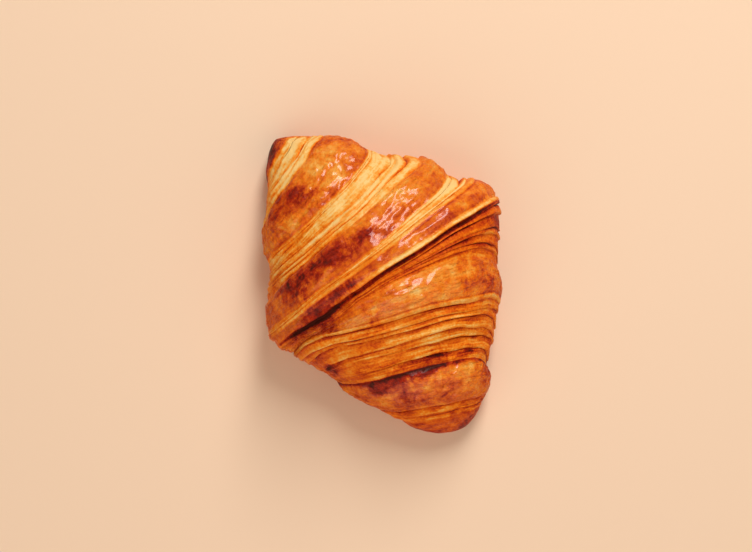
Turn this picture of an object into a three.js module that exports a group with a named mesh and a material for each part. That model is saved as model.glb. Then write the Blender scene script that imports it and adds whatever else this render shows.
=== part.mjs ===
// A butter croissant: one triangle of laminated dough, rolled up from its wide end and baked in
// one piece. It is a single closed solid, because nothing on it comes apart.
//
// Millimetres. +X runs from tip to tip, +Y across, +Z up. The origin is on the flat underside,
// at the middle of the length and of the width.

import * as THREE from 'three';
import { mergeVertices } from 'three/addons/utils/BufferGeometryUtils.js';

// Overall sizes of the baked croissant.
const LENGTH = 140;
const WIDTH = 108;
const HEIGHT = 58;

// The shape of the roll.
const CROWN_RISE = 34;      // from the level where the middle turn is widest up to its crown
const WIDEST_LEVEL = 24;    // height of that level above the tray
const BELLY_DEPTH = 38;     // how far below it the belly would reach, had it not baked flat
const TIP_LEVEL = 7;        // height of the two tips above the tray
const TIP_BEND = 8;         // how far the tips curve back from the middle turn, towards -Y
const BEND_SHARPNESS = 1.3; // 1 bends the roll at its middle alone, 2 evenly from tip to tip
const FOOT_ROUNDING = 2.5;  // height over which the side runs into the flat underside
const SHOULDER = 0.08;      // share of half the length over which the middle turn rounds over
const LEFT_TAPER = 0.72;    // how fast the roll narrows towards the -X tip; smaller is blunter
const RIGHT_TAPER = 0.61;   // the same towards the +X tip
const HEIGHT_TAPER = 0.52;  // how fast the roll gets lower towards both tips

// The turns of dough.
const SKIN_SWELL = 1.4;     // how far each smooth turn swells between its edges
const EDGE_SPACING = 2;     // the least distance between two edges that lie over each other
const FREE_SPACING = 5;     // the distance from which they no longer press each other flat
const FULL_RISE_AT = 16;    // half width of the roll from which the edges have their full rise

// The edges of the turns, from the -X tip to the +X tip. Each crosses the -Y side, the crown and
// the +Y side at a share of half the length, and its rise says how far it stands out from the
// roll or lies in. An edge marked skin is followed, towards +X, by the smooth skin of a turn;
// the others are followed by the cut ends of the layers under it.
const EDGES = [
  { name: 'left_cap_valley', crosses: [-0.80, -0.925, -0.955], rise: -1.6, rings: 5 },
  { name: 'outer_left_edge', crosses: [-0.54, -0.77, -0.86], rise: 0.8, rings: 5, skin: true },
  { name: 'outer_left_valley', crosses: [-0.33, -0.515, -0.68], rise: -2.8, rings: 2 },
  { name: 'left_layer', crosses: [-0.27, -0.42, -0.54], rise: -0.6, rings: 2 },
  { name: 'left_edge', crosses: [-0.20, -0.33, -0.45], rise: 1.2, rings: 4, skin: true },
  { name: 'left_valley', crosses: [-0.11, -0.175, -0.296], rise: -1.8, rings: 2 },
  { name: 'middle_left_edge', crosses: [-0.06, -0.123, -0.20], rise: 0.9, rings: 4, skin: true },
  { name: 'middle_lip', crosses: [0.01, -0.022, -0.006], rise: 0.8, rings: 2 },
  { name: 'lip_crevice', crosses: [0.04, 0.014, 0.04], rise: -3.6, rings: 2 },
  { name: 'right_valley', crosses: [0.08, 0.075, 0.36], rise: -2.6, rings: 4, skin: true },
  { name: 'right_edge', crosses: [-0.13, 0.28, 0.51], rise: 0.6, rings: 2 },
  { name: 'first_groove', crosses: [-0.12, 0.33, 0.52], rise: -1.9, rings: 2 },
  { name: 'first_layer', crosses: [0.02, 0.40, 0.56], rise: -0.3, rings: 2 },
  { name: 'second_groove', crosses: [0.13, 0.475, 0.62], rise: -2.0, rings: 2 },
  { name: 'second_layer', crosses: [0.24, 0.53, 0.68], rise: -1.1, rings: 2 },
  { name: 'outer_right_valley', crosses: [0.36, 0.60, 0.78], rise: -3.2, rings: 5, skin: true },
  { name: 'outer_right_edge', crosses: [0.60, 0.825, 0.90], rise: 0.8, rings: 3 },
  { name: 'right_cap_valley', crosses: [0.75, 0.90, 0.94], rise: -1.6, rings: 5 },
];
const TIP_RINGS = 5;        // rings from the -X tip to the first edge
const GIRTH_POINTS = 60;    // points round each ring

const QUARTER_TURN = Math.PI / 2;

// Where an edge runs, in mm along X. around is -1 at the -Y side, 0 at the crown, +1 at the +Y
// side and -2 or +2 at the middle of the underside, where the two ends of the edge meet.
function edgePlace(edge, around) {
  const [nearSide, crown, farSide] = edge.crosses;
  const turn = THREE.MathUtils.clamp(around, -1, 1);
  const underneath = THREE.MathUtils.smoothstep(Math.abs(around), 1, 2);
  const slant = (farSide - nearSide) / 2 * (1 - underneath);
  const bow = (farSide + nearSide) / 2 - crown;
  return (crown + slant * turn + bow * turn * turn) * LENGTH / 2;
}

// The places of all the edges, kept in order from the lip of the middle turn outwards: an edge
// that would pass under the turn nearer the middle stays just outside it.
function edgePlaces(around) {
  const places = EDGES.map((edge) => edgePlace(edge, around));
  const lip = EDGES.findIndex((edge) => edge.name === 'middle_lip');
  for (let i = lip + 1; i < places.length; i += 1) {
    places[i] = Math.max(places[i], places[i - 1] + EDGE_SPACING);
  }
  for (let i = lip - 1; i >= 0; i -= 1) {
    places[i] = Math.min(places[i], places[i + 1] - EDGE_SPACING);
  }
  return places;
}

// The rings of the solid in order: the edge that each one follows, or -1 for the -X tip, and its
// share of the way to the next edge.
function listRings() {
  const rings = [];
  const addBand = (edge, count) => {
    for (let i = 0; i < count; i += 1) {
      rings.push({ edge, share: i / count });
    }
  };
  addBand(-1, TIP_RINGS);
  EDGES.forEach((edge, index) => addBand(index, edge.rings));
  rings.push({ edge: EDGES.length - 1, share: 1 });
  return rings;
}

// How far an edge stands out at one place round the roll, pressed flat by close neighbours.
function edgeRise(index, places) {
  const before = index === 0 ? -LENGTH / 2 : places[index - 1];
  const after = index === EDGES.length - 1 ? LENGTH / 2 : places[index + 1];
  return EDGES[index].rise * Math.min(1, (after - before) / 2 / FREE_SPACING);
}

// The place along X and the rise of a ring at one place round the roll. The rings crowd towards
// each tip, so that the tips come out round.
function ringPoint(ring, around) {
  const places = edgePlaces(around);
  const last = EDGES.length - 1;
  if (ring.edge === -1 || ring.edge === last) {
    const tip = ring.edge === -1 ? -LENGTH / 2 : LENGTH / 2;
    const edge = ring.edge === -1 ? 0 : last;
    const fromTip = (ring.edge === -1 ? ring.share : 1 - ring.share) ** 2;
    const x = THREE.MathUtils.lerp(tip, places[edge], fromTip);
    return { x, rise: edgeRise(edge, places) * fromTip };
  }
  const next = ring.edge + 1;
  const x = THREE.MathUtils.lerp(places[ring.edge], places[next], ring.share);
  const slope = THREE.MathUtils.lerp(edgeRise(ring.edge, places), edgeRise(next, places), ring.share);
  const swell = EDGES[ring.edge].skin ? SKIN_SWELL * Math.sin(Math.PI * ring.share) : 0;
  return { x, rise: slope + swell };
}

// The side runs into the flat underside on a short curve, and nothing reaches below the tray.
function flattenFoot(z) {
  if (z >= FOOT_ROUNDING) {
    return z;
  }
  return z <= -FOOT_ROUNDING ? 0 : (z + FOOT_ROUNDING) ** 2 / (4 * FOOT_ROUNDING);
}

// Distance from the middle as a share of half the length, rounded off over the middle turn.
function shoulderRounded(along) {
  const shortest = Math.hypot(1, SHOULDER) - SHOULDER;
  return Math.min(1, (Math.hypot(along, SHOULDER) - SHOULDER) / shortest);
}

// A point on the baked surface. The section is an ellipse with a deeper lower half, cut flat.
function surfacePoint(ring, angle) {
  const { x, rise } = ringPoint(ring, angle / QUARTER_TURN);
  const along = x / (LENGTH / 2);
  const fullness = 1 - shoulderRounded(along);
  const halfWidth = WIDTH / 2 * fullness ** (x < 0 ? LEFT_TAPER : RIGHT_TAPER);
  const lowering = fullness ** HEIGHT_TAPER;
  const proud = rise * Math.min(1, halfWidth / FULL_RISE_AT);
  const level = THREE.MathUtils.lerp(TIP_LEVEL, WIDEST_LEVEL, lowering);
  const reach = Math.cos(angle) >= 0 ? CROWN_RISE : BELLY_DEPTH;
  const bend = TIP_BEND * Math.abs(along) ** BEND_SHARPNESS;
  const y = (halfWidth + proud) * Math.sin(angle) - bend;
  const z = level + (reach * lowering + proud) * Math.cos(angle);
  return new THREE.Vector3(x, y, flattenFoot(z));
}

// The solid starts as a sphere with its poles at the two tips, one row of points for each ring.
function makeCroissant() {
  const rings = listRings();
  const ringCount = rings.length - 1;
  const geometry = new THREE.SphereGeometry(1, GIRTH_POINTS, ringCount);
  geometry.rotateZ(QUARTER_TURN);
  const positions = geometry.attributes.position;
  const direction = new THREE.Vector3();
  for (let i = 0; i < positions.count; i += 1) {
    direction.fromBufferAttribute(positions, i);
    const fromLeftTip = Math.acos(THREE.MathUtils.clamp(-direction.x, -1, 1)) / Math.PI;
    const ring = rings[Math.round(fromLeftTip * ringCount)];
    const point = surfacePoint(ring, Math.atan2(direction.y, direction.z));
    positions.setXYZ(i, point.x, point.y, point.z);
  }
  return geometry;
}

// Brings the solid to its overall sizes, standing on z = 0 and centred over the origin.
function fitToSize(geometry) {
  geometry.computeBoundingBox();
  const box = geometry.boundingBox;
  const size = box.getSize(new THREE.Vector3());
  const centre = box.getCenter(new THREE.Vector3());
  geometry.translate(-centre.x, -centre.y, -box.min.z);
  geometry.scale(LENGTH / size.x, WIDTH / size.y, HEIGHT / size.z);
}

// Points that fall together at the tips and along the seam become one, so that the solid closes.
function closeSolid(geometry) {
  geometry.deleteAttribute('normal');
  geometry.deleteAttribute('uv');
  const closed = mergeVertices(geometry, 1e-3);
  closed.computeVertexNormals();
  return closed;
}

const crust = new THREE.MeshStandardMaterial({ color: 0xc8701f, roughness: 0.45, metalness: 0 });

const shape = makeCroissant();
fitToSize(shape);
const croissant = new THREE.Mesh(closeSolid(shape), crust);
croissant.name = 'croissant';

const group = new THREE.Group();
group.add(croissant);

export default group;
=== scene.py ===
import math

import bpy
import numpy as np
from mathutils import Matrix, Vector, noise


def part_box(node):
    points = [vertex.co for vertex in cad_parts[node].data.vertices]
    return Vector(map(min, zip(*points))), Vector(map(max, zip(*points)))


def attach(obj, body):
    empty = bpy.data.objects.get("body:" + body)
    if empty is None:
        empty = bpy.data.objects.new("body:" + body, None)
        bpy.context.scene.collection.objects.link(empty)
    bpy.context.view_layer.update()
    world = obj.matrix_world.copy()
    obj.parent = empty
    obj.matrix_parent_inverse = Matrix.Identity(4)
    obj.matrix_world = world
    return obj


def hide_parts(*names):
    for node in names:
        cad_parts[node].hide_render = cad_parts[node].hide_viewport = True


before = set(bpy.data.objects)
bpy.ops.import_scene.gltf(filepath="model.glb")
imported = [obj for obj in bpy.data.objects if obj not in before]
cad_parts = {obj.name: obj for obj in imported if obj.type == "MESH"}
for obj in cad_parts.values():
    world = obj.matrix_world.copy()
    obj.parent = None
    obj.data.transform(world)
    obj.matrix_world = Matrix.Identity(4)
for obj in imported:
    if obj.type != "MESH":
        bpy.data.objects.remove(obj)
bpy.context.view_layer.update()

# ---------------------------------------------------------------------------------------------
# The croissant. A long triangle of butter dough, laminated in thin sheets, is rolled up from its
# wide end, so that the turns pile up in the middle and narrow to a tip at each side. Brushed with
# egg, it rises and bakes on a flat tray, which presses its underside flat.
# ---------------------------------------------------------------------------------------------

low, high = (Vector(corner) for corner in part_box("croissant"))
half_length = (high.x - low.x) / 2
half_width = (high.y - low.y) / 2
mm = 0.001

crown_rise = 34 * mm      # from the level where the middle turn is widest up to its crown
widest_level = 24 * mm    # height of that level above the tray
belly_depth = 38 * mm     # how far below it the belly would reach, had it not baked flat
tip_level = 7 * mm        # height of the tips above the tray
tip_bend = 8 * mm         # how far the tips curve back from the middle turn
bend_sharpness = 1.3      # 1 bends the roll at its middle alone, 2 evenly from tip to tip
foot_rounding = 2.5 * mm  # height over which the side runs into the flat underside
shoulder = 0.08           # share of half the length over which the middle turn rounds over
left_taper = 0.72         # how fast the roll narrows towards each tip; smaller is blunter
right_taper = 0.61
height_taper = 0.52       # how fast it gets lower towards both tips
under_skins = 0.965       # share of the half width that the roll has under its swollen skins
full_rise_at = 16 * mm    # half width of the roll from which its edges stand out in full
full_lumps_at = 12 * mm   # half width from which its lumps and puckers do
quarter_girth = 80        # from the crown down to one side, round the middle turn, in mm

rows = 194                # points round the roll
crowding = 0.38           # how much closer they stand over the crown than underneath
row_step = np.linspace(-1, 1, rows, endpoint=False)
# -2 and +2 are the middle of the underside, -1 the -Y side, 0 the crown and +1 the +Y side.
around = 2 * ((1 - crowding) * row_step + crowding * row_step ** 3)


def smoothstep(value, start, end):
    share = np.clip((value - start) / (end - start), 0, 1)
    return share * share * (3 - 2 * share)


def blend(start, end, share):
    return start + (end - start) * share


def bell(value, middle, width):
    """1 at the middle, falling away smoothly on both sides."""
    return np.exp(-((value - middle) / width) ** 2)


def wander(seed, waves, size=1.0):
    """A slow, smooth wandering between about -size and +size, round the roll."""
    angle = np.pi / 2 * around
    radius = waves / (2 * np.pi)
    spots = zip(np.cos(angle) * radius, np.sin(angle) * radius)
    return size * np.array([2 * noise.noise((a, b, 7.31 * seed)) for a, b in spots])


def round_the_roll(near_side, crown, far_side):
    """A value that an edge has at the -Y side, the crown and the +Y side, at every row."""
    turn = np.clip(around, -1, 1)
    underneath = smoothstep(np.abs(around), 1, 2)
    slant = (far_side - near_side) / 2 * (1 - underneath)
    bow = (far_side + near_side) / 2 - crown
    return crown + slant * turn + bow * turn * turn


# Each turn shows a smooth skin, and then the cut ends of its sheets, which opened in the oven
# into fine steps that run down to the next turn. The last turn ends in a thin lip in the middle.
rolled_under = 0.6 * mm    # how far a skin turns down at its very edge
full_skin = 9 * mm         # the width from which a skin swells and turns down in full
rim_place = 0.75 * mm      # the raw rim of a skin, in from its edge
rim_width = 0.65 * mm
rim_proud = 0.35           # in mm
rim_tone = 0.14
seam_place = 2.0 * mm      # the fine seam between the rim and the washed skin
seam_width = 0.40 * mm
seam_depth = 0.40          # in mm
crease_width = 1.7 * mm    # how far out from under the turn before a skin is painted with shade
least_skin = 2.0 * mm      # the narrowest that a skin may be
least_sheet = 0.4 * mm     # the least that each cut sheet shows of itself
first_step = 0.4 * mm      # how far the first cut sheet stands out over the skin before
dark_fold = 0.8 * mm       # the depth from which a fold is painted all dark with shade
least_fold = 0.03 * mm
fold_tone = 0.42           # the palest that the painted shade at the bottom of a fold may be
nose_swell = 1.3 * mm      # how far the blunt ends of the roll swell
nose_fold = 0.4 * mm       # how deep the folds there are
nose_folds = 5             # and how many half waves they make

columns = []


def add_column(x, rise, layered, tone, toast, grain):
    """One line of points round the roll: places along X, how far they stand out, whether they are
    on cut sheets, how brown they are, how much painted shade they get in folds and creases, and their
    place across the grain."""
    ones = np.ones(rows)
    columns.append([x * ones, rise * ones, layered * ones, tone * ones, toast * ones, grain * ones])


class Walk:
    """Follows the roll from the middle lip out to one tip, turn after turn."""

    def __init__(self, side, x, rise, seed):
        self.side = side
        self.x = x
        self.rise = rise
        self.seed = seed
        self.grain = 0.0
        self.crown_x = x[rows // 2]

    def next_edge(self, places, rises, wobble, least):
        """The line and rise of the next edge, kept outside the one before."""
        self.seed += 1
        x = round_the_roll(*places) * half_length + wander(self.seed, 9, wobble)
        outward = self.side * (x - self.x) - least
        softness = 1.2 * mm
        outward = (outward + np.sqrt(outward ** 2 + softness ** 2)) / 2 + least
        rise = round_the_roll(*rises) * mm
        return self.x + self.side * outward, rise

    def put(self, x, rise, layered, tone, toast):
        """Adds a column. Its place across the grain is its distance along the crown, in mm."""
        least_step = 0.12
        self.grain += max(least_step, abs(x[rows // 2] - self.crown_x) / mm)
        self.crown_x = x[rows // 2]
        add_column(x, rise, layered, tone, toast, self.side * self.grain)

    def skin(self, places, rises, swells, count, tones, rim=0.0, crease=0.0, climb=2.0):
        """A smooth skin that comes out from under the turn before, painted with shade in the crease
        there and in the seam in from its rim, and swells up to its edge, which may end in a raw rim
        that the egg wash missed."""
        x_edge, rise_edge = self.next_edge(places, rises, wobble=0.6 * mm, least=least_skin)
        tone = round_the_roll(*tones)
        width = np.abs(x_edge - self.x)
        full = np.clip(width / full_skin, 0, 1)
        rim_height = rim * (0.75 + wander(self.seed + 0.3, 8, 0.5)) * full
        # The rim runs over the crown and fades out low on both sides.
        rim = rim * smoothstep(around, -1.0, -0.6) * smoothstep(-around, -1.3, -0.9)
        start_x = self.x
        for i in range(1, count + 1):
            share = i / count
            inside = (1 - share) * width
            out = 1 - (1 - share) ** climb
            bulge = np.sin(np.pi * share) * round_the_roll(*swells) * mm * full
            roll_over = rolled_under * full * max(0.0, (share - 0.92) / 0.08) ** 2
            on_rim = bell(inside, rim_place, rim_width) * rim
            in_seam = bell(inside, seam_place, seam_width) * rim
            in_crease = bell(share * width, 0, crease_width) * crease
            rise = blend(self.rise, rise_edge, out) + bulge - roll_over
            rise = rise + (rim_proud * on_rim - seam_depth * in_seam) * mm * np.clip(rim_height, 0, 1.5)
            raw = 0.9 * on_rim
            # Painted shade in the seam in from the rim and in the crease under the turn before.
            shade = 0.6 * in_seam * full + in_crease
            self.put(blend(start_x, x_edge, share), rise, raw, blend(tone, rim_tone, raw), shade)
        self.x = x_edge
        self.rise = rise_edge - rolled_under * full

    def layers(self, places, rises, steps, tones, drop=2.0, depth=1.1 * mm, lift=0.2, opened=1.0):
        """The cut ends of the sheets. steps holds each sheet's share of the way and its size. With
        more lift, a sheet climbs all the way out to its own edge."""
        least = least_sheet * len(steps)
        x_edge, rise_edge = self.next_edge(places, rises, wobble=0.5 * mm, least=least)
        tone = round_the_roll(*tones)
        in_shade = np.maximum(tone, fold_tone)
        start_x = self.x
        start_rise = self.rise + first_step
        share_before = np.zeros(rows)
        reached = 0
        for share, size in steps:
            self.seed += 1
            # The edge of the sheet strays from its line, but never under the sheet before.
            room = share - reached
            strays = wander(self.seed, 4, 0.45 * room) + wander(self.seed + 0.5, 22, 0.06 * room)
            outside = share_before + 0.3 * room
            share_here = np.maximum(share + strays, outside)
            if share == 1:
                share_here = np.maximum(outside, 1)
            x = blend(start_x, x_edge, share_here)
            sheet = np.abs(x - self.x)
            uneven = np.clip(0.9 + wander(self.seed + 0.2, 7, 1.5), 0.05, 1.7)
            fold = np.minimum(depth * opened * size * uneven, 0.4 * sheet)
            fold = np.maximum(fold, least_fold)
            lip = blend(start_rise, rise_edge, 1 - (1 - np.clip(share_here, 0, 1)) ** drop)
            lip = lip + size * (0.15 * mm + wander(self.seed + 0.7, 6, 0.4 * mm)) * opened
            bottom = np.minimum(self.rise, lip) - fold
            deep = np.clip(fold / dark_fold, 0, 1)
            # Out of the fold, up its wall, over the back of the sheet and down to its thin edge:
            # the share of the way across and up, the tone, and how much painted shade from the fold.
            under = np.minimum(0.12 * sheet, 0.25 * mm)
            wall = np.minimum(0.28 * mm / sheet, 0.14)
            foot = np.minimum(0.70 * mm / sheet, 0.28)
            crest = np.minimum(0.80 * mm / sheet, 0.3)
            # The thin edge over a deep fold is painted paler, a painted highlight on the crest.
            pale = tone - (0.18 + 0.12 * lift) * deep
            self.put(self.x - self.side * under, bottom, opened, in_shade, deep)
            profile = (
                (wall, 0.6, in_shade, 0.45 * deep),
                (foot, 0.93 - 0.45 * lift, tone, 0.25 * lift * deep),
                (0.45, 1 - 0.35 * lift, tone, 0.0),
                (0.62, 1 - 0.18 * lift, tone, 0.0),
                (1 - crest, 1.03, pale, 0.0),
                (1 - 0.45 * crest, 1.05, pale, 0.0),
            )
            for across, up, colour, shade in profile:
                self.put(blend(self.x, x, across), blend(bottom, lip, up), opened, colour, shade)
            self.x = x
            self.rise = lip - 0.15 * fold
            self.put(self.x, self.rise, opened, pale, 0.0)
            share_before = share_here
            reached = share

    def nose(self, count, tones):
        """The end of the roll, which closes to a blunt point in a few small folds."""
        tone = round_the_roll(*tones)
        uneven = 0.7 + wander(self.seed + 0.4, 5)
        for i in range(1, count + 1):
            share = i / count
            out = 1 - (1 - share) ** 2
            fold = nose_fold * math.sin(share * nose_folds * math.pi) * (1 - share) * uneven
            swell = nose_swell * math.sin(math.pi * share)
            rise = self.rise * (1 - share) ** 2 + fold + swell
            # The first fifth, close under the turn before, is painted with shade.
            shade = 0.35 * max(0.0, 1 - share / 0.2)
            self.put(blend(self.x, self.side * half_length, out), rise, 0.5, tone, shade)


# The edge of the lip is torn on the -Y side. The crevice under it closes low on both sides.
ragged = bell(around, -0.42, 0.20)
open_end = smoothstep(around, -0.85, -0.66) * (1 - 0.9 * smoothstep(around, 0.5, 0.8))
lip_x = round_the_roll(0.005, -0.014, -0.002) * half_length + wander(3, 14, 0.35 * mm)
lip_x = lip_x + wander(4, 40, 1.3 * mm) * ragged
lip_rise = round_the_roll(0.7, 2.0, 1.6) * mm + wander(5, 50, 1.0 * mm) * ragged
lip_stands = smoothstep(around, -0.25, 0.05)

# The tones of the edges are paler on the -X half, most of all towards +Y where the light falls, and
# darker on the +X half: partly the crust's own colour and partly painted light and shade.
leftwards = Walk(-1, lip_x - 1.7 * mm, lip_rise - 0.6 * mm * lip_stands, seed=10)
leftwards.skin(places=(-0.05, -0.123, -0.19), rises=(2.7, 2.0, 4.3), swells=(0.4, 0.7, 1.0),
               count=30, tones=(0.50, 0.50, 0.38), rim=1.0)
leftwards.layers(places=(-0.075, -0.145, -0.296), rises=(2.2, 0.9, 0.8),
                 steps=[(0.35, 0.8), (0.7, 0.4), (1, 0.2)], tones=(0.34, 0.18, -0.26))
leftwards.skin(places=(-0.22, -0.33, -0.45), rises=(1.6, 3.0, 4.8), swells=(0.3, 0.4, 0.8),
               count=44, tones=(0.53, 0.49, 0.34), crease=0.1, climb=1.15)
leftwards.layers(places=(-0.43, -0.515, -0.68), rises=(-2.2, -2.0, 0.2),
                 steps=[(0.22, 0.15), (0.36, 1.0), (0.46, 0.7), (0.76, 0.3), (0.88, 1.3), (1, 1.4)],
                 tones=(0.40, 0.20, -0.18))
leftwards.skin(places=(-0.56, -0.77, -0.86), rises=(-0.8, 3.0, 2.6), swells=(0.5, 0.9, 1.2),
               count=50, tones=(0.46, 0.40, 0.40), crease=0.35, climb=1.3)
leftwards.layers(places=(-0.80, -0.925, -0.955), rises=(-2.2, -1.2, 1.0),
                 steps=[(0.25, 0.8), (0.45, 0.5), (0.75, 0.7), (1, 0.3)], tones=(0.46, 0.00, 0.06))
leftwards.nose(count=24, tones=(0.78, 0.48, 0.42))
left_columns = columns[::-1]
columns.clear()

# The lip itself, and the deep crevice that it hangs over, which is painted dark with painted
# shade. Each column has its offset from the edge of the lip in mm, and then its rise in mm, or its
# share of the way down.
lip_tone = blend(0.50, round_the_roll(0.5, 0.10, 0.08), lip_stands)
lip_profile = ((-1.7, -0.6), (-1.45, -0.25), (-1.1, -0.02), (-0.7, 0.0), (-0.25, -0.05), (0.0, -0.3))
for offset, rise in lip_profile:
    rise = lip_rise + rise * mm * lip_stands
    add_column(lip_x + offset * mm, rise, 0.8 * lip_stands, lip_tone, 0.0, 0.3 * offset)

gap = 1 + 0.5 * ragged * (1 + wander(6, 60, 0.9))
crevice = round_the_roll(-1.0, -1.1, 0.0) * mm - 1.0 * mm * ragged * (1 + wander(7, 60))
crevice = blend(lip_rise, crevice, open_end)
crevice_tone = round_the_roll(0.4, 0.72, 0.70)
crevice_profile = ((0.05, 0.4), (0.2, 0.8), (0.6, 1.0), (1.1, 0.95), (1.4, 0.8))
rightwards = Walk(1, lip_x, lip_rise, seed=60)
for offset, share in crevice_profile:
    shade = share * (0.8 - 0.2 * ragged) * open_end
    rise = blend(lip_rise, crevice, share)
    rightwards.put(lip_x + offset * mm * gap, rise, 1.0, crevice_tone, shade)
rightwards.x = lip_x + 1.7 * mm * gap
rightwards.rise = crevice
rightwards.layers(places=(0.10, 0.075, 0.36), rises=(-1.8, -1.8, -2.8),
                  steps=[(0.15, 0.5), (0.33, 0.7), (0.48, 0.5), (0.66, 0.6), (0.82, 0.4), (1, 0.2)],
                  tones=(0.42, 0.56, 0.52), drop=1.2, lift=0.5,
                  opened=0.1 + 0.9 * smoothstep(around, -0.55, -0.15))
rightwards.skin(places=(-0.13, 0.28, 0.51), rises=(-1.0, 0.6, -1.8), swells=(0.5, 1.5, 0.9),
                count=48, tones=(0.60, 0.37, 0.58), rim=1.0, crease=0.1)
rightwards.layers(places=(0.36, 0.58, 0.78), rises=(-2.2, -2.8, -2.8),
                  steps=[(0.12, 1.2), (0.32, 1.3), (0.53, 0.9), (0.63, 0.4), (0.83, 0.8), (1, 0.7)],
                  tones=(0.54, 0.44, 0.52), drop=1.6, lift=0.9,
                  depth=1.5 * mm * (1 - 0.4 * smoothstep(around, 0.2, 0.7)),
                  opened=0.15 + 0.85 * smoothstep(around, -0.8, -0.5))
rightwards.skin(places=(0.60, 0.825, 0.90), rises=(-1.0, 1.0, 1.4), swells=(0.5, 1.8, 0.7),
                count=44, tones=(0.56, 0.42, 0.52), crease=1.2)
rightwards.layers(places=(0.75, 0.90, 0.94), rises=(-0.6, -0.8, 0.6),
                  steps=[(0.35, 0.5), (0.7, 0.6), (1, 0.3)], tones=(0.54, 0.52, 0.58))
rightwards.nose(count=24, tones=(0.62, 0.62, 0.64))
columns = left_columns + columns

x, rise, layered, tone, toast, grain = (np.array(part) for part in zip(*columns))


def soften(values, reach):
    """Evens a value out over the neighbouring columns."""
    padded = np.pad(values, ((reach, reach), (0, 0)), mode="edge")
    shifted = [padded[i:i + len(values)] for i in range(2 * reach + 1)]
    return sum(shifted) / len(shifted)


layered = soften(layered, 2)
tone = soften(tone, 2)
# Low on the sides the sheets stood close to the hot tray and coloured evenly.
tray_tone = 0.32
tone = blend(tone, np.maximum(tone, tray_tone), smoothstep(np.abs(around), 0.65, 1.05))


def flatten_foot(z):
    """The side runs into the flat underside on a short curve."""
    curve = (z + foot_rounding) ** 2 / (4 * foot_rounding)
    return np.where(z >= foot_rounding, z, np.where(z <= -foot_rounding, 0, curve))


angle = np.pi / 2 * around
along = np.clip(x / half_length, -1, 1)
shortest = math.hypot(1, shoulder) - shoulder
fullness = 1 - np.minimum(1, (np.hypot(along, shoulder) - shoulder) / shortest)
section = half_width * under_skins * fullness ** np.where(along < 0, left_taper, right_taper)
lowering = fullness ** height_taper
proud = rise * np.clip(section / full_rise_at, 0, 1)
level = blend(tip_level, widest_level, lowering)
section_height = np.where(np.cos(angle) >= 0, crown_rise, belly_depth) * lowering
y = (section + proud) * np.sin(angle) - tip_bend * np.abs(along) ** bend_sharpness
z = level + (section_height + proud) * np.cos(angle)
points = np.stack([x, y, z], axis=-1)


def grained(across, along):
    """A place in noise, turned so that the noise's own grid doesn't run with the grain."""
    return 0.62 * across + 0.48 * along, 0.54 * across - 0.83 * along, 0.57 * across + 0.28 * along


# Uneven proving and steam leave shallow lumps. The skins blister too, and the sheets pucker along
# the grain. Each noise has its waves to the mm and its height in mm.
lumps = ((0.045, 1.3), (0.10, 0.9), (0.24, 0.45))
for i in range(len(points)):
    for j in range(rows):
        place = Vector(points[i, j]) / mm
        lump = sum(noise.noise(place * waves) * size for waves, size in lumps)
        blister = noise.noise(place * 0.50) * 0.34
        pucker = noise.noise(grained(grain[i, j] * 0.45, around[j] * 9)) * 0.42
        thread = noise.noise(grained(grain[i, j] * 1.1, around[j] * 5 + 40)) * 0.22
        out = lump + (1 - layered[i, j]) * (blister + pucker) + layered[i, j] * (thread + 0.5 * pucker)
        out *= mm * min(1.0, section[i, j] / full_lumps_at)
        points[i, j, 1] += out * math.sin(angle[j])
        points[i, j, 2] += out * math.cos(angle[j])
points[..., 2] = flatten_foot(points[..., 2])

# The baked roll has the frame's overall size and stands where the frame says.
corner_low = points.min(axis=(0, 1))
corner_high = points.max(axis=(0, 1))
points = (points - corner_low) / (corner_high - corner_low) * np.array(high - low) + np.array(low)

mesh = bpy.data.meshes.new("croissant_crust")
vertices = points.reshape(-1, 3)
left_tip = vertices[:rows].mean(axis=0)
right_tip = vertices[-rows:].mean(axis=0)
vertices = np.vstack([left_tip, vertices[rows:-rows], right_tip])
rings_between = len(points) - 2
last = 1 + (rings_between - 1) * rows
faces = []
for j in range(rows):
    k = (j + 1) % rows
    faces.append((0, 1 + j, 1 + k))
    for i in range(rings_between - 1):
        here = 1 + i * rows
        faces.append((here + j, here + rows + j, here + rows + k, here + k))
    faces.append((last + k, last + j, last + rows))
mesh.from_pydata(vertices.tolist(), [], faces)
mesh.update()
mesh.shade_smooth()


def store(name, values):
    """Keeps one number for each point of the mesh, for the material to read."""
    flat = np.concatenate([[values[0].mean()], values[1:-1].reshape(-1), [values[-1].mean()]])
    attribute = mesh.attributes.new(name, "FLOAT", "POINT")
    attribute.data.foreach_set("value", flat.astype(np.float32))


store("layered", layered)
# How much painted shade each point gets: deep in folds, in creases and seams, and in the crevice.
store("toast", toast)
store("grain_across", grain)
store("grain_along", np.broadcast_to(around * quarter_girth, grain.shape))

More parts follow.
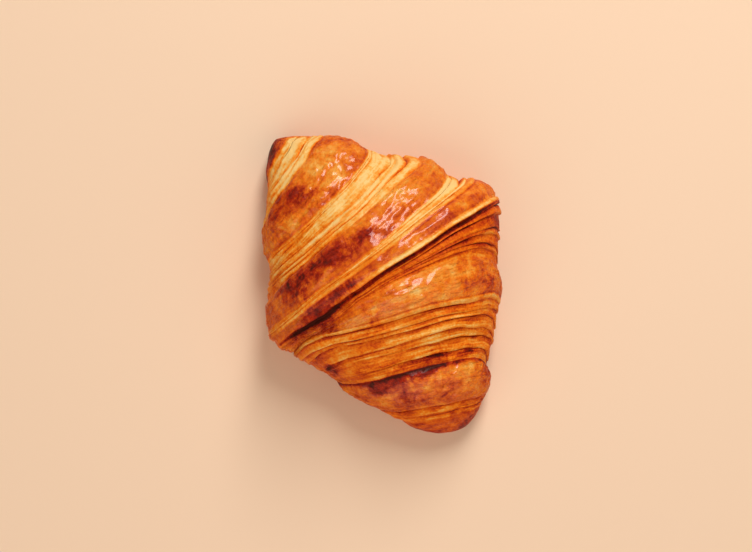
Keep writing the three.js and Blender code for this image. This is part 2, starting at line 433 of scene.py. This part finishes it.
# Where the oven coloured the crust most: the middle x and y and the half sizes in mm, and how
# much darker.
scorches = [
    (-17, -12, 4.5, 8, 0.85), (-16, -24, 4, 8, 0.7), (-14, -36, 5.5, 6, 0.8), (-46, -18, 5, 6, 1.1),
    (-42, -26, 6, 5, 0.8), (-4, -18, 2.0, 11, 0.9), (-0.5, -32, 3.4, 8, 1.5), (1.5, -43, 1.6, 3, 0.9),
    (25, 31, 6, 5, 0.5), (19, 26, 4, 8, 0.3), (47, -21, 6, 5, 0.6), (37, -28, 4, 4, 0.9),
    (40, -6, 3.0, 7, 2.4), (36.5, -18, 2.6, 8, 1.6), (44, 8, 2.0, 6, 1.2), (54, 11, 5, 4, 0.5),
    (-67, -13, 3, 3, 1.3), (-69, -6, 2, 6, 0.6), (69, -7, 3, 8, 0.3), (-57, 8, 2.5, 8, 0.7),
    (-24, 38, 5, 5, 0.25), (-5, 48, 5, 6, 0.35), (12, -15, 4, 4, 0.5), (-6, 12, 2.0, 12, 0.3),
    (21, -41, 4, 4, 0.6), (6, -29, 4, 7, 0.55), (-42, -6, 2, 4, 0.5), (-18, 1, 3, 6, 0.7),
    (52, -8, 6, 4, 0.4), (-40, -11, 4, 4, 0.35),
]
# Where it is painted paler, in the same way: a painted sheen round the glints on the glaze, and
# a paler strip on the cut sheets on each side of the middle.
sheen_and_pale_spots = [
    (-49, 3, 6, 9, 0.10), (-24, 20, 5, 12, 0.12), (-16, 9, 3, 8, 0.04), (10, 8, 4, 16, 0.04),
    (49, 3, 5, 8, 0.08), (31, 4, 1.6, 8, 0.22), (-31, 4, 2.0, 20, 0.06),
]


def spread(spots):
    """Adds up soft ellipses on the croissant, as seen from above."""
    total = np.zeros(points.shape[:2])
    for middle_x, middle_y, size_x, size_y, amount in spots:
        across = (points[..., 0] / mm - middle_x) / size_x
        along_y = (points[..., 1] / mm - middle_y) / size_y
        total += amount * np.exp(-across ** 2 - along_y ** 2)
    return total


store("scorch", spread(scorches))
# The tone, less the painted sheen and the pale strips.
store("tone", tone - spread(sheen_and_pale_spots))
# The lowest few mm stood on the hot tray.
store("under", smoothstep(-points[..., 2] / mm, -6.0, -0.5))
# The brush reached only what faces upwards.
round_step = np.roll(points, -1, axis=1) - np.roll(points, 1, axis=1)
facing = np.cross(np.gradient(points, axis=0), round_step)
least_area = 1e-12
facing_up = facing[..., 2] / np.maximum(np.linalg.norm(facing, axis=-1), least_area)
store("washed", soften(smoothstep(facing_up, 0.45, 0.85), 3))

croissant = bpy.data.objects.new("croissant_crust", mesh)
bpy.context.scene.collection.objects.link(croissant)
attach(croissant, "root")
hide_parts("croissant")


class Wire:
    """An output of a material's nodes, on which sums can be written."""

    def __init__(self, tree, socket=None):
        self.tree = tree
        self.socket = socket

    def node(self, kind, settings, inputs, output=0):
        """Adds a node, makes its settings, gives its inputs values or wires, and returns one output."""
        made = self.tree.nodes.new(kind)
        for name, value in settings.items():
            if name == "stops":
                ramp = made.color_ramp
                while len(ramp.elements) < len(value):
                    ramp.elements.new(1.0)
                for element, (place, colour) in zip(ramp.elements, value):
                    element.position = place
                    element.color = (*colour, 1.0)
            else:
                setattr(made, name, value)
        for name, value in inputs.items():
            if isinstance(value, Wire):
                self.tree.links.new(value.socket, made.inputs[name])
            else:
                made.inputs[name].default_value = value
        return Wire(self.tree, made.outputs[output])

    def maths(self, operation, *values):
        return self.node("ShaderNodeMath", {"operation": operation}, dict(enumerate(values)))

    def __add__(self, other):
        return self.maths("ADD", self, other)

    __radd__ = __add__

    def __sub__(self, other):
        return self.maths("SUBTRACT", self, other)

    def __rsub__(self, other):
        return self.maths("SUBTRACT", other, self)

    def __mul__(self, other):
        return self.maths("MULTIPLY", self, other)

    __rmul__ = __mul__

    def clamped(self, low_end=0.0, high_end=1.0):
        return self.maths("MAXIMUM", self.maths("MINIMUM", self, high_end), low_end)

    def between(self, start, end):
        """0 up to start, 1 from end on, and smooth in between."""
        settings = {"interpolation_type": "SMOOTHSTEP"}
        return self.node("ShaderNodeMapRange", settings, {0: self, 1: start, 2: end, 3: 0.0, 4: 1.0})


# Egg wash bakes to a thin, glossy glaze over browned skin. The cut sheets, which have none, stay
# matte and paler, with dark lines of painted shade where they fold under.
crust = bpy.data.materials.new("baked_crust")
crust.use_nodes = True
tree = crust.node_tree
shader = tree.nodes["Principled BSDF"]
nodes = Wire(tree)


def stored(name):
    return nodes.node("ShaderNodeAttribute", {"attribute_name": name}, {}, "Fac")


def streaks(across_mm, along_mm, detail, seed):
    """Noise drawn out along the grain of the rolled dough."""
    across = stored("grain_across") * (1 / across_mm)
    along = stored("grain_along") * (1 / along_mm)
    x, y, z = grained(across, along)
    vector = nodes.node("ShaderNodeCombineXYZ", {}, {0: x, 1: y, 2: z + seed})
    inputs = {"Vector": vector, "Scale": 1.0, "Detail": detail, "Roughness": 0.6}
    return nodes.node("ShaderNodeTexNoise", {}, inputs, "Fac")


object_place = nodes.node("ShaderNodeTexCoord", {}, {}, "Object")


def mottle(size_mm, detail, roughness=0.55, distortion=0.0):
    inputs = {"Vector": object_place, "Scale": 1000 / size_mm, "Detail": detail,
              "Roughness": roughness, "Distortion": distortion}
    return nodes.node("ShaderNodeTexNoise", {}, inputs, "Fac")


def cells(size_mm):
    inputs = {"Vector": object_place, "Scale": 1000 / size_mm, "Smoothness": 0.6}
    return nodes.node("ShaderNodeTexVoronoi", {"feature": "SMOOTH_F1"}, inputs, "Distance")


on_layers = stored("layered")
recess_shade = stored("toast")
burnt = stored("scorch")
underside = stored("under")
fine_streaks = streaks(across_mm=1.2, along_mm=22, detail=3.0, seed=1.0)
broad_streaks = streaks(across_mm=4.0, along_mm=60, detail=2.0, seed=5.0)
creased_skin = streaks(across_mm=1.7, along_mm=8, detail=3.0, seed=9.0)
patches = mottle(size_mm=9.0, detail=4.0, roughness=0.65, distortion=0.6)
specks = mottle(size_mm=2.6, detail=4.0, roughness=0.68)
grit = mottle(size_mm=0.9, detail=2.0)

# How far each spot has baked, from 0 for pale crumb to 1 for char.
charred = (burnt + (patches - 0.5) * 1.2 + (specks - 0.5) * 0.6).between(0.15, 0.95)
patchy = (patches - 0.5) * 0.95 * (1 - 0.55 * on_layers)
banded = (broad_streaks - 0.5) * 0.40
speckled = (specks - 0.5) * (0.42 + 0.06 * on_layers)
gritty = (grit - 0.5) * (0.12 + 0.30 * on_layers)
threaded = (fine_streaks - 0.5) * (0.05 + 1.00 * on_layers)
creased = (creased_skin - 0.5) * (0.35 - 0.35 * on_layers)
browning = stored("tone") + patchy + banded + speckled + gritty + threaded + creased
# Painted shade darkens the folds, creases, seams and crevice.
browning = browning + recess_shade * 0.36 + charred * 0.27 + burnt * 0.06 + underside * 0.22
bakes = [
    (0.00, (0.960, 0.640, 0.240)),
    (0.15, (0.950, 0.480, 0.100)),
    (0.27, (0.920, 0.320, 0.030)),
    (0.40, (0.880, 0.198, 0.004)),
    (0.555, (0.700, 0.100, 0.002)),
    (0.75, (0.400, 0.020, 0.002)),
    (0.88, (0.200, 0.008, 0.002)),
    (1.00, (0.065, 0.007, 0.003)),
]
colour = nodes.node("ShaderNodeValToRGB", {"stops": bakes}, {0: browning.clamped()})
tree.links.new(colour.socket, shader.inputs["Base Color"])

roughness = 0.36 + 0.18 * on_layers + (specks - 0.5) * 0.3 + underside * 0.25
tree.links.new(roughness.clamped(0.15, 0.85).socket, shader.inputs["Roughness"])
glaze = (0.9 - 0.85 * on_layers) * stored("washed") * (1 - charred * 0.7) * (1 - recess_shade.clamped())
tree.links.new(glaze.clamped().socket, shader.inputs["Coat Weight"])
shader.inputs["Coat Roughness"].default_value = 0.19
shader.inputs["Coat IOR"].default_value = 1.43
shader.inputs["Specular IOR Level"].default_value = 0.08

# Fine relief, in mm: blisters and creases on the skins, threads of dough on the cut sheets.
pimples = mottle(size_mm=1.5, detail=3.0)
blisters = (0.6 - cells(size_mm=1.8)) * 0.14 + (pimples - 0.5) * 0.60 + (creased_skin - 0.5) * 1.8
threads = (fine_streaks - 0.5) * 0.55 + (grit - 0.5) * 0.30
relief = blend(blisters, threads, on_layers)
bump = nodes.node("ShaderNodeBump", {}, {"Height": relief, "Strength": 1.0, "Distance": mm}, "Normal")
tree.links.new(bump.socket, shader.inputs["Normal"])
mesh.materials.append(crust)

# ---------------------------------------------------------------------------------------------
# The table, which isn't part of the croissant. It is plain and pale, with a matte painted top, and
# the croissant simply lies on it.
# ---------------------------------------------------------------------------------------------

bpy.ops.mesh.primitive_plane_add(size=6, location=(0, 0, low.z))
table = bpy.context.object
table.name = "table"
table_top = bpy.data.materials.new("pale_table")
table_top.use_nodes = True
paint = table_top.node_tree.nodes["Principled BSDF"]
paint.inputs["Base Color"].default_value = (0.92, 0.675, 0.49, 1)
paint.inputs["Roughness"].default_value = 0.7
table.data.materials.append(table_top)

# ---------------------------------------------------------------------------------------------
# Studio light. A narrow soft box high over the -X, +Y side puts the glints on the glaze, two broad
# ones over the other sides fill its shadows with a warmer light, and the room is dim and warm.
# ---------------------------------------------------------------------------------------------


def soft_box(name, place, width, tall, power, colour):
    lamp = bpy.data.lights.new(name, "AREA")
    lamp.shape = "RECTANGLE"
    lamp.size = width
    lamp.size_y = tall
    lamp.energy = power
    lamp.color = colour
    box = bpy.data.objects.new(name, lamp)
    box.location = place
    box.rotation_euler = (-Vector(place)).to_track_quat("-Z", "Y").to_euler()
    bpy.context.scene.collection.objects.link(box)


warm_white = (1.0, 0.89, 0.77)
soft_box("key_light", place=(-0.52, 0.58, 0.84), width=0.30, tall=0.84, power=9.8,
         colour=(1.0, 0.98, 0.94))
soft_box("near_fill", place=(0.55, -0.80, 0.90), width=1.7, tall=1.7, power=8.0, colour=warm_white)
soft_box("right_fill", place=(0.95, 0.20, 0.90), width=1.7, tall=1.7, power=4.4, colour=warm_white)
room = bpy.data.worlds.new("room")
room.use_nodes = True
walls = room.node_tree.nodes["Background"]
walls.inputs["Color"].default_value = (*warm_white, 1)
walls.inputs["Strength"].default_value = 0.18
bpy.context.scene.world = room
bpy.context.scene.view_settings.view_transform = "Standard"

# ---------------------------------------------------------------------------------------------
# The camera looks straight down from over a metre up through a long lens, and is turned so that
# the croissant lies slantwise across its view.
# ---------------------------------------------------------------------------------------------

camera_data = bpy.data.cameras.new("camera")
camera_data.lens = 135
camera = bpy.data.objects.new("camera", camera_data)
camera.location = (-0.0012, -0.0045, 1.155)
camera.rotation_euler = (0, 0, math.radians(56.8))
bpy.context.scene.collection.objects.link(camera)
bpy.context.scene.camera = camera
